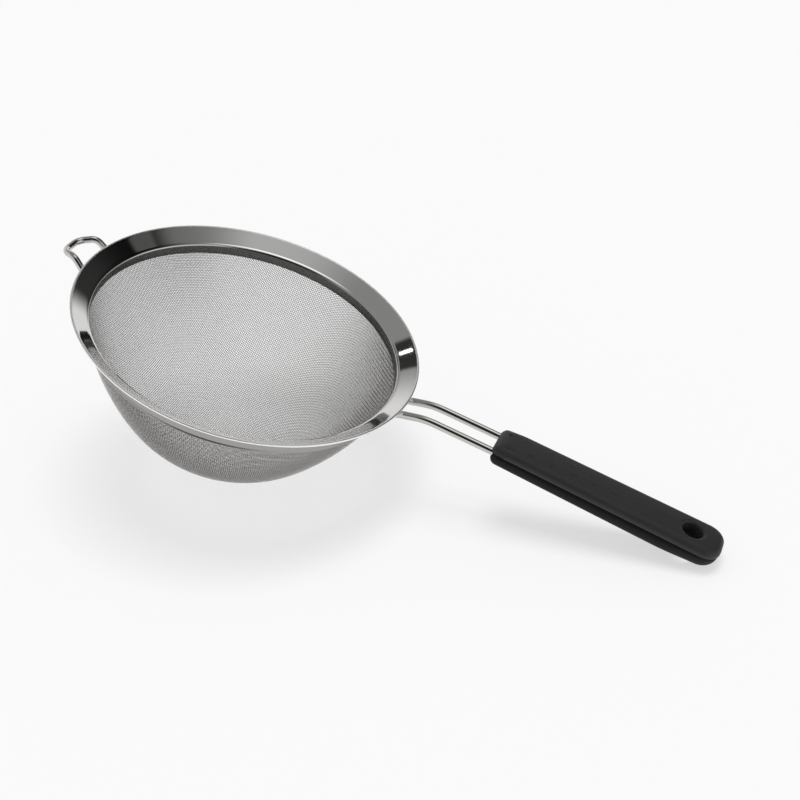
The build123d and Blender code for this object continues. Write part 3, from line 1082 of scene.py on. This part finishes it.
def floor_finish(tint, glow):
    """Pale sheet that is lit from below as well, as on a light table, so that shadows on
    it stay light."""
    material, finish = new_finish("floor_sheet")
    tooth = finish.noise(3.0, 3.0)
    own = 1.0 - glow
    return surfaced(material, finish, {
        "Base Color": finish.mixed(tooth, shade(tint, 0.995 * own), shade(tint, 1.005 * own)),
        "Roughness": 0.9,
        "Specular IOR Level": 0.0,
        "Emission Color": shade(tint),
        "Emission Strength": glow,
    })


def soft_patch(finish, direction, azimuth, elevation, inner, outer):
    """1 within an angle of a direction, falling smoothly to 0 at a wider angle, read off
    the cosine between the two."""
    centre = (cos(elevation) * cos(azimuth), cos(elevation) * sin(azimuth), sin(elevation))
    near = finish.vector("DOT_PRODUCT", direction, centre, output="Value")
    return finish.eased(near, cos(outer), cos(inner))


def studio_reflections(finish):
    """What polished metal sees of the studio: a pale wall low down, a duller ceiling with
    bright panels, a dark corner, the camera's dark side and a lamp in its dark hood. Each
    patch has an azimuth, an elevation, and the angles at which it starts and ends to fade."""
    direction = finish.node("ShaderNodeTexCoord", output="Generated")
    height = finish.node("ShaderNodeSeparateXYZ", None, {0: direction}, "Z")
    patch = lambda *angles: soft_patch(finish, direction, *map(radians, angles))
    ceiling_panel = patch(-12, 62, 8, 42) * 0.26
    corner = 1.0 - patch(55, 25, 21, 34) * 0.96
    beside_corner = 1.0 - patch(30, 42, 8, 34) * 0.6
    glint = patch(36, 37, 3, 6) * 0.1
    top_panel = patch(58, 73, 9, 18) * 0.9
    camera_side = 1.0 - patch(-70, 33, 25, 41) * 0.97
    hood = 1.0 - patch(139, 42, 7, 9.5) * 0.88
    lamp = patch(139.5, 43.7, 0.45, 1.1) * 4.0
    walls = finish.eased(height, sin(radians(14)), sin(radians(40)), 0.95, 0.32)
    lit = (walls + ceiling_panel) * corner * beside_corner + glint + top_panel
    return lit * camera_side * hood + lamp


def light_world(level):
    """Even light all round. The camera sees white past the floor, also through glass, and
    glossy surfaces see the studio."""
    world = bpy.data.worlds.new("studio")
    world.use_nodes = True
    finish = Finish(world.node_tree)
    camera = finish.node("ShaderNodeLightPath", output="Is Camera Ray")
    glossy = finish.node("ShaderNodeLightPath", output="Is Glossy Ray")
    through = finish.node("ShaderNodeLightPath", output="Is Transmission Ray")
    shown = camera.larger(through)
    strength = level + shown * (1 - level) + glossy * (studio_reflections(finish) - level)
    white = {"Color": (1, 1, 1, 1), "Strength": strength}
    background = finish.node("ShaderNodeBackground", None, white)
    finish.node("ShaderNodeOutputWorld", None, {"Surface": background})
    bpy.context.scene.world = world


def place_camera(stage):
    """Camera at its place, as in the photograph. Its back points along the azimuth and up
    by the elevation, and its right and up are turned by the roll."""
    azimuth, elevation, roll = stage.camera_azimuth, stage.camera_elevation, stage.camera_roll
    level = cos(elevation)
    back = Vector((sin(azimuth) * level, -cos(azimuth) * level, sin(elevation)))
    right = Vector((cos(azimuth), sin(azimuth), 0))
    up = back.cross(right)
    right, up = cos(roll) * right + sin(roll) * up, cos(roll) * up - sin(roll) * right
    data = bpy.data.cameras.new("camera")
    data.lens = stage.camera_lens
    camera = bpy.data.objects.new("camera", data)
    turn = Matrix((right, up, back)).transposed().to_4x4()
    camera.matrix_world = Matrix.Translation(Vector(stage.camera_place)) @ turn
    bpy.context.scene.collection.objects.link(camera)
    bpy.context.scene.camera = camera


# Operators


def add_rod(name, line, radius, finish_name, replaced, settings):
    """Bent steel rod: a tube swept along a line."""
    points, quads, ends = swept(*line, radius)
    tint = settings.finish.rod_steel
    steel = polished_steel(finish_name, tint, roughness=0.07, ripple=0.000006)
    add_piece(name, leaned(points, settings), [quads, ends], steel, replaced)


class Builder:
    """What the operators share."""

    bl_options = {"REGISTER", "UNDO"}

    @classmethod
    def poll(cls, context):
        return context.scene is not None


class STRAINER_OT_rim(Builder, bpy.types.Operator):
    """Make the pressed ring and its clamp band"""

    bl_idname = "strainer.rim"
    bl_label = "Rim and Band"

    def execute(self, context):
        settings = context.scene.strainer
        points, quads = revolved(rim_profile(settings.rim), RIM_COLUMNS)
        steel = polished_steel(
            "polished_rim", settings.finish.polished_steel, roughness=0.035, ripple=0.00001,
            settings=settings,
        )
        add_piece("rim", leaned(points, settings), [quads], steel, "rim_ring")
        points, quads = revolved(band_profile(settings), BAND_COLUMNS)
        satin = satin_steel("satin_band", settings.finish.satin_steel)
        add_piece("band", leaned(points, settings), [quads], satin, "clamp_band")
        return {"FINISHED"}


class STRAINER_OT_mesh(Builder, bpy.types.Operator):
    """Weave the bowl from crossing wires"""

    bl_idname = "strainer.mesh"
    bl_label = "Woven Bowl"

    def execute(self, context):
        settings = context.scene.strainer
        mesh = settings.mesh
        net = whole_net(settings)
        outwards = off_bowl(net, bowl_section(settings))[1]
        keep = net[..., 2] < -settings.rim.collar_depth + mesh.hidden_edge
        over = np.where(np.indices(keep.shape).sum(axis=0) % 2, 1.0, -1.0)
        material = drawn_wire("woven_wire", settings.finish.drawn_wire, settings)
        crossed = lambda array: array.swapaxes(0, 1)
        families = {
            "warp": (net, outwards, over, keep),
            "weft": (crossed(net), crossed(outwards), -crossed(over), crossed(keep)),
        }
        for family, (lines, out, high, kept) in families.items():
            total = np.cumsum(kept.sum(axis=1))
            share = total * WIRE_PARTS // (total[-1] + 1)
            for part in range(WIRE_PARTS):
                here = kept & (share == part)[:, None]
                points, quads, ends = wires(lines, out, high, here, mesh.wire / 2)
                name, points = f"{family}_wires_{part + 1}", leaned(points, settings)
                add_piece(name, points, [quads, ends], material, "mesh_bowl")
        return {"FINISHED"}


class STRAINER_OT_handle_frame(Builder, bpy.types.Operator):
    """Bend the hairpin rod of the handle"""

    bl_idname = "strainer.handle_frame"
    bl_label = "Handle Rod"

    def execute(self, context):
        settings = context.scene.strainer
        line, radius = rod_line(settings), settings.rod.radius
        add_rod("rods", line, radius, "polished_rod", "handle_frame", settings)
        return {"FINISHED"}


class STRAINER_OT_rest_loop(Builder, bpy.types.Operator):
    """Bend the wire loop that rests on a pan's rim"""

    bl_idname = "strainer.rest_loop"
    bl_label = "Rest Loop"

    def execute(self, context):
        settings = context.scene.strainer
        line, radius = loop_line(settings), settings.loop.radius
        add_rod("loop", line, radius, "polished_loop", "rest_loop", settings)
        return {"FINISHED"}


class STRAINER_OT_grip(Builder, bpy.types.Operator):
    """Mould the grip's body and its soft cover"""

    bl_idname = "strainer.grip"
    bl_label = "Grip"

    def execute(self, context):
        settings = context.scene.strainer
        points, quads = body_surface(settings)
        # Painted shade: the body's black is darker than the cover's, standing in for the shade
        # along the grip's lower side and groove
        rigid = moulded_black(
            "rigid_black", settings.finish.rigid_black, roughness=0.5, depth=0.00001, shine=0.2
        )
        add_piece("body", leaned(points, settings), [quads], rigid, "grip_body")
        points, quads = cover_surface(settings)
        soft = moulded_black(
            "soft_black", settings.finish.soft_black, roughness=0.52, depth=0.000012, shine=0.5
        )
        add_piece("cover", leaned(points, settings), [quads], soft, "grip_cover")
        return {"FINISHED"}


class STRAINER_OT_stage(Builder, bpy.types.Operator):
    """Set up the floor, the light and the camera"""

    bl_idname = "strainer.stage"
    bl_label = "Stage"

    def execute(self, context):
        stage = context.scene.strainer.stage
        add_floor(floor_finish(stage.floor, stage.floor_glow))
        light_world(stage.sky_level)
        lamp = bpy.data.lights.new("overhead_lamp", "SUN")
        lamp.angle = stage.lamp_spread
        lamp.energy = stage.lamp_level
        overhead = bpy.data.objects.new("overhead_lamp", lamp)
        overhead.matrix_world = Matrix.Rotation(stage.lamp_lean, 4, "X")
        overhead.visible_glossy = False
        context.scene.collection.objects.link(overhead)
        place_camera(stage)
        context.scene.view_settings.view_transform = "Standard"
        return {"FINISHED"}


class STRAINER_PT_panel(bpy.types.Panel):
    """Lists the sizes and the operators"""

    bl_idname = "STRAINER_PT_panel"
    bl_label = "Mesh Strainer"
    bl_space_type = "VIEW_3D"
    bl_region_type = "UI"
    bl_category = "Strainer"

    def draw(self, context):
        settings = context.scene.strainer
        for group in ("rim", "mesh", "rod", "loop", "grip", "finish", "stage"):
            box = self.layout.box()
            box.label(text=group.title())
            values = getattr(settings, group)
            for name in values.__annotations__:
                box.prop(values, name)
        for operator in OPERATORS:
            self.layout.operator(operator.bl_idname)


OPERATORS = (
    STRAINER_OT_rim,
    STRAINER_OT_mesh,
    STRAINER_OT_handle_frame,
    STRAINER_OT_rest_loop,
    STRAINER_OT_grip,
    STRAINER_OT_stage,
)
GROUPS = (
    RimSizes,
    MeshSizes,
    RodSizes,
    LoopSizes,
    GripSizes,
    Finishes,
    StageSettings,
    StrainerSettings,
)
CLASSES = (*GROUPS, *OPERATORS, STRAINER_PT_panel)


def register():
    for cls in CLASSES:
        bpy.utils.register_class(cls)
    bpy.types.Scene.strainer = bpy.props.PointerProperty(type=StrainerSettings)


def unregister():
    del bpy.types.Scene.strainer
    for cls in reversed(CLASSES):
        bpy.utils.unregister_class(cls)


def main():
    register()
    bpy.ops.strainer.rim()
    bpy.ops.strainer.mesh()
    bpy.ops.strainer.handle_frame()
    bpy.ops.strainer.rest_loop()
    bpy.ops.strainer.grip()
    bpy.ops.strainer.stage()


if __name__ == "__main__":
    main()
